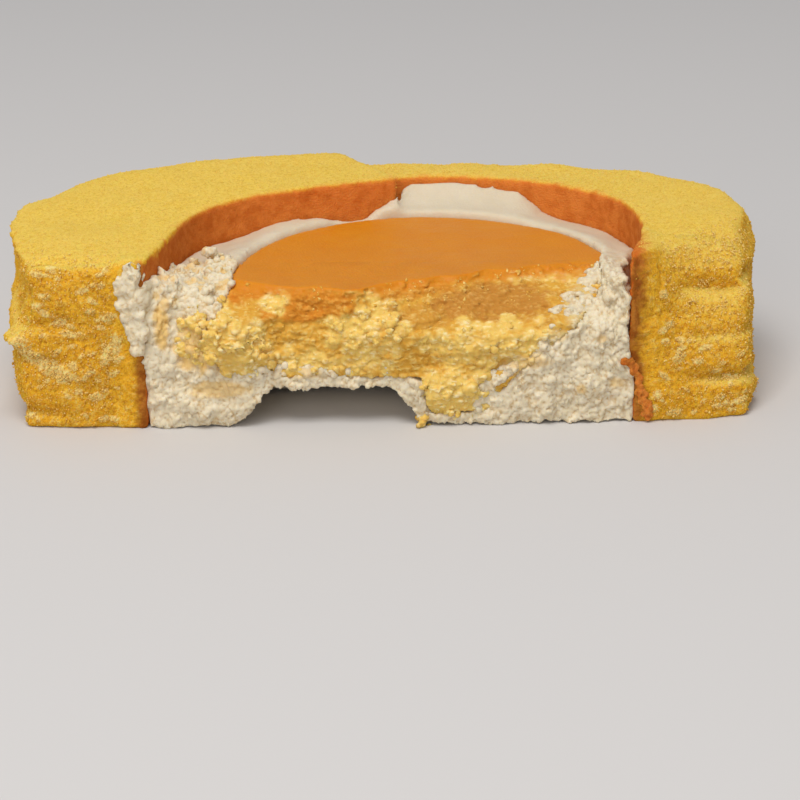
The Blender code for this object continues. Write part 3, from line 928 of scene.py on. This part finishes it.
def soft_spots(places, spots, seed):
    """Strength at each place of uneven soft spots on the cut face."""
    total = np.zeros(len(places))
    ragged = 0.45 * field(places, 1.6 * MM, seed, 3)
    for x, z, wide, high, strength in spots:
        off = ((places[:, 0] / MM - x) / wide) ** 2 + ((places[:, 2] / MM - z) / high) ** 2
        total = np.maximum(total, strength * step(-0.35, 0.45, 0.75 - off + ragged))
    return total * (1.0 - step(0.008, 0.018, places[:, 1] - CUT_Y))


def pile(tree, rows, least, draw):
    """Lumps piled on the cut face in outlines, none hanging free: spots and sizes."""
    spots, sizes = [], []
    for outline, count, large, push in rows:
        here = fill_outline(outline, count, draw)
        places, normals, _ = on_cut(tree, here[~in_outline(CAVITY, here)])
        height = push * np.clip(0.55 + 0.75 * field(places, 1.8 * MM, push, 2), 0.0, 1.2) * MM
        lift = height * draw.random(len(places))
        size = (least + (large - least) * draw.random(len(places)) ** 2.0) * MM
        spots.append(places + normals * np.minimum(lift, 1.2 * size)[:, None])
        sizes.append(size)
    return np.concatenate(spots), np.concatenate(sizes)


def break_up(heads, reach, count, draw):
    """Makes each lump a clump of smaller ones that overlap: spots and sizes."""
    reach = np.repeat(reach, count)
    spots = np.repeat(heads, count, axis=0) + draw.normal(size=(len(reach), 3)) * 0.36 * reach[:, None]
    return spots, reach * draw.uniform(0.38, 0.75, len(reach))


def near(places, spots, reach):
    """1 beside the spots, and 0 from further away than the reach."""
    tree = KDTree(len(spots))
    for index, spot in enumerate(spots):
        tree.insert(spot, index)
    tree.balance()
    return 1.0 - step(0.5 * reach, reach, np.array([tree.find(p)[2] for p in places]))


def cream_corner(places, normals):
    """The cream's broken top on the left, behind the cut, where crumb has fallen on it."""
    x, y, z = places.T / MM
    return (x > -37.0) * (x < -25.0) * (y < -12.0) * (z > 19.0) * (normals[:, 2] > -0.2) * 1.0


SEAM = [
    (34.5, 22.6), (30.8, 20.6), (25.6, 18.2), (24.4, 14.4), (22.2, 11.8), (18.2, 9.4), (14.2, 7.8),
    (13.9, 0.8), (17.4, 0.6), (17.6, 5.6), (21.0, 7.0), (25.4, 9.6), (28.4, 13.0), (29.0, 16.0),
    (33.5, 18.2), (36.6, 20.6),
]
CAVITY = [(-38.5, 27.8), (-37.5, 27.8), (-35.9, 24.5), (-36.1, 20.6), (-37.5, 20.4), (-38.2, 24.0)]
FOOT = [
    (-31.0, 7.9), (-31.2, 9.9), (-20.0, 10.2), (-12.0, 9.9), (3.4, 10.1), (3.4, 8.2), (-12.0, 8.0),
    (-20.0, 8.1),
]
# Each row: outline, how many lumps, the largest, and how far they stand out in millimetres.
CREAM_CLUMPS = [(SMEAR, 750, 1.25, 0.5), (SEAM, 850, 1.1, 1.2), (FOOT, 330, 0.9, 0.9)]
draw = np.random.default_rng(81)
all_tree = tree_of([cream, cheesecake, *sponge_ends.values()])
cream_face = slab("cream", "cream_torn_face", FACE_DEPTH)
spots, normals = scatter(cream_face.data, 550, draw, broken)
sizes = (0.30 + 0.80 * draw.random(len(spots)) ** 2.0) * MM
join_into(cream_face, crumbs("curds", spots - normals * sizes[:, None] * 0.35, sizes, 0.5, draw, 80))
spots, sizes = pile(all_tree, CREAM_CLUMPS, 0.28, draw)
join_into(cream_face, crumbs("clumps", spots, sizes, 0.5, draw, 80))
heads, normals = scatter(cream.data, 80, draw, cream_corner)
reach = draw.uniform(0.5, 1.3, len(heads)) * MM
heads += normals * (draw.uniform(0.1, 0.9, len(heads)) * reach)[:, None]
corner_spots, sizes = break_up(heads, reach, 9, draw)
join_into(cream_face, crumbs("corner", corner_spots, sizes, 0.6, draw, 20))
fuse(cream_face, 0.27 * MM, 1)
thin_out(cream_face, broken_part)
cream_marks(cream_face, 4.0, True)
STAINED_SPOTS = [
    (-36.0, 17.0, 1.4, 4.0, 0.9), (-30.5, 13.5, 3.8, 5.0, 0.9), (-27.0, 6.6, 5.4, 1.8, 0.65),
    (22.0, 11.0, 4.0, 1.6, 0.5), (33.4, 14.4, 1.3, 0.8, 0.5), (36.2, 6.6, 1.6, 1.0, 0.5),
    (30.4, 6.0, 0.9, 1.1, 0.6), (26.5, 15.0, 2.0, 1.2, 0.5), (-14.0, 9.0, 4.0, 1.0, 0.5),
]
for piece in (cream, cream_face):
    places, _ = points_of(piece.data)
    fallen = 0.65 * near(places, corner_spots[::5], 1.0 * MM)
    store(piece.data, "stained", np.maximum(soft_spots(places, STAINED_SPOTS, 4.0), fallen))
cream_face.data.materials.append(whipped_cream)
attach(cream_face, "root")

# The torn face of the cheesecake: flakes of curd in rough layers and piles, with paler and more orange
# places, and painted shade where it overhangs. Soft spots: x, height, half width, half height, strength.
# Paler curd. The last spot, low in the middle, is partly painted light: it makes the lumps there pale,
# though they lie under the overhang.
PALE_SPOTS = [
    (16.0, 13.5, 10.0, 2.6, 0.7), (24.0, 22.0, 7.0, 1.2, 0.7), (-12.0, 10.5, 9.0, 2.0, 0.6),
    (10.5, 4.5, 7.5, 5.0, 1.0),
]
ORANGE_SPOTS = [(-24.0, 22.0, 7.0, 2.2, 0.9), (-13.0, 20.0, 9.0, 3.2, 0.8), (4.0, 21.5, 9.0, 1.6, 0.6)]
# Painted shade: a darker tan where the torn face overhangs and lies in its own shade.
OVERHANG_SHADE_SPOTS = [(16.5, 19.0, 12.0, 2.6, 1.0), (6.0, 18.0, 6.0, 2.0, 0.5)]
CREAMY_SPOTS = [(30.5, 18.0, 3.0, 3.0, 0.8), (26.0, 14.0, 3.0, 2.4, 0.8), (21.0, 9.8, 3.4, 2.0, 0.7)]
CURD_SPOTS = (
    ("pale", PALE_SPOTS, 1.0), ("orange", ORANGE_SPOTS, 2.0), ("tan", OVERHANG_SHADE_SPOTS, 3.0),
    ("creamy", CREAMY_SPOTS, 5.0),
)
LEFT_LUMP = [
    (-33.0, 17.9), (-29.8, 20.2), (-26.5, 20.0), (-22.8, 18.8), (-20.2, 15.6), (-18.4, 11.3),
    (-23.7, 8.8), (-29.3, 9.2), (-33.0, 12.6),
]
MIDDLE_LUMP = [
    (-9.6, 14.6), (-8.2, 17.7), (-4.7, 18.8), (-0.3, 19.0), (2.4, 16.1), (1.2, 12.8), (-4.1, 11.7),
]
CRUMB_ON_TOP = [(-19.9, 20.5), (-17.3, 22.0), (-15.3, 20.7), (-16.5, 18.7), (-19.5, 18.8)]
SMALL_CRUMB = [(-3.9, 21.8), (-1.5, 21.6), (-1.7, 19.9), (-3.5, 20.0)]
TOP_STREAK = [
    (17.0, 22.1), (24.0, 22.3), (33.0, 22.3), (35.0, 21.6), (33.0, 20.2), (27.0, 20.9), (20.0, 20.8),
]
MIDDLE_STREAK = [
    (3.7, 14.6), (9.4, 16.6), (15.8, 16.5), (23.7, 16.8), (27.2, 14.6), (23.7, 11.2), (15.8, 10.4),
    (7.9, 11.0),
]
LOW_LUMPS = [(4.7, 8.4), (9.4, 9.6), (15.8, 8.0), (15.6, 1.2), (9.5, 0.8), (5.3, 1.2)]
LOW_LAYERS = [(-19.0, 11.6), (-14.0, 9.2), (1.5, 8.9), (2.0, 11.6), (-8.0, 12.0), (-17.0, 13.4)]
CURD_CLUMPS = [
    (LEFT_LUMP, 110, 1.6, 2.0), (MIDDLE_LUMP, 50, 1.5, 1.8), (CRUMB_ON_TOP, 12, 1.1, 1.2),
    (SMALL_CRUMB, 4, 0.9, 0.6), (TOP_STREAK, 34, 0.8, 0.2), (MIDDLE_STREAK, 62, 1.4, 1.1),
    (LOW_LUMPS, 42, 1.6, 1.8), (LOW_LAYERS, 34, 1.0, 0.6),
]
draw = np.random.default_rng(91)
curd_face = slab("cheesecake", "cheesecake_torn_face", FACE_DEPTH)
spots, normals = scatter(curd_face.data, 450, draw, broken)
sizes = (0.28 + 0.60 * draw.random(len(spots)) ** 2.0) * MM
join_into(curd_face, crumbs("flakes", spots - normals * sizes[:, None] * 0.35, sizes, 0.6, draw, 80))
heads, reach = pile(all_tree, CURD_CLUMPS, 0.50, draw)
clump_spots, sizes = break_up(heads, reach, 8, draw)
join_into(curd_face, crumbs("clumps", clump_spots, sizes, 0.75, draw, 20))
fuse(curd_face, 0.25 * MM, 0)
thin_out(curd_face, broken_part)
curd_marks(curd_face, 7.0, True)
for piece in (cheesecake, curd_face):
    places, _ = points_of(piece.data)
    beside_clumps = near(places, clump_spots, 1.2 * MM)
    for name, spots, seed in CURD_SPOTS:
        share = soft_spots(places, spots, seed)
        if name == "pale":
            share = np.maximum(share, 0.95 * beside_clumps)
        elif name != "creamy":
            share *= 1.0 - beside_clumps
        store(piece.data, name, share)
curd_face.data.materials.append(baked_curd)
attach(curd_face, "root")

# Fine crumbs of curd lie where the cheesecake's baked top breaks off towards the cut.
# They are dry, and each has its own tone, like the loose crumbs on the sponge.


def broken_edge(places, normals):
    """The rounded edge between the baked top and the torn face."""
    turned = (normals[:, 2] > 0.10) * (normals[:, 2] < 0.97) * (normals[:, 1] < 0.0)
    return turned * (places[:, 2] > 0.0185) * (places[:, 1] < CUT_Y + 0.0138) * 1.0


draw = np.random.default_rng(95)
spots, normals = scatter(curd_face.data, 1000, draw, broken_edge)
kept = field(spots, 2.5 * MM, 6.0, 3) > 0.08
spots, normals = spots[kept], normals[kept]
sizes = (0.14 + 0.45 * draw.random(len(spots)) ** 2.5) * MM
mesh = crumbs("cheesecake_crumbs", spots - normals * sizes[:, None] * 0.1, sizes, 0.8, draw, 8)
add_piece("cheesecake_crumbs", mesh, pale_crumb)
store(mesh, "tone", np.repeat(draw.uniform(0.1, 0.9, len(spots)), 6))

# A tongue of baked skin has come away at the foot of the right end, and curls into the
# cream.
draw = np.random.default_rng(101)
front_tree = tree_of([cream_face, *sponge_ends.values()])
TONGUE = [(36.8, 10.4), (38.0, 10.6), (38.8, 9.4), (39.6, 7.0), (40.2, 4.6), (40.8, 2.6), (41.2, 0.9)]
shares = np.sort(draw.random(170)) * (len(TONGUE) - 1.001)
line = np.array(TONGUE)
corners = shares.astype(int)
spots = line[corners] + (line[corners + 1] - line[corners]) * (shares - corners)[:, None]
spots += draw.uniform(-0.8, 0.8, spots.shape) * (0.45 + 0.12 * shares)[:, None]
places, _, _ = on_cut(front_tree, spots)
places[:, 1] -= draw.uniform(-0.1, 0.4, len(places)) * MM
mesh = crumbs("skin_tongue", places, draw.uniform(0.22, 0.55, len(places)) * MM, 0.5, draw, 80)
tongue = add_piece("skin_tongue", mesh, egg_sponge)
fuse(tongue, 0.2 * MM, 1)
places, _ = points_of(tongue.data)
store(tongue.data, "browned", np.ones(len(places)))
store(tongue.data, "cut", 0.40 + 0.6 * field(places, 0.9 * MM, 2.0))
# Painted light: the tongue gets much of the same paler skin as the lit back wall.
store(tongue.data, "painted_light", 0.8 + 0.5 * field(places, 1.2 * MM, 3.0))
store(tongue.data, "proud", np.full(len(places), 0.5))
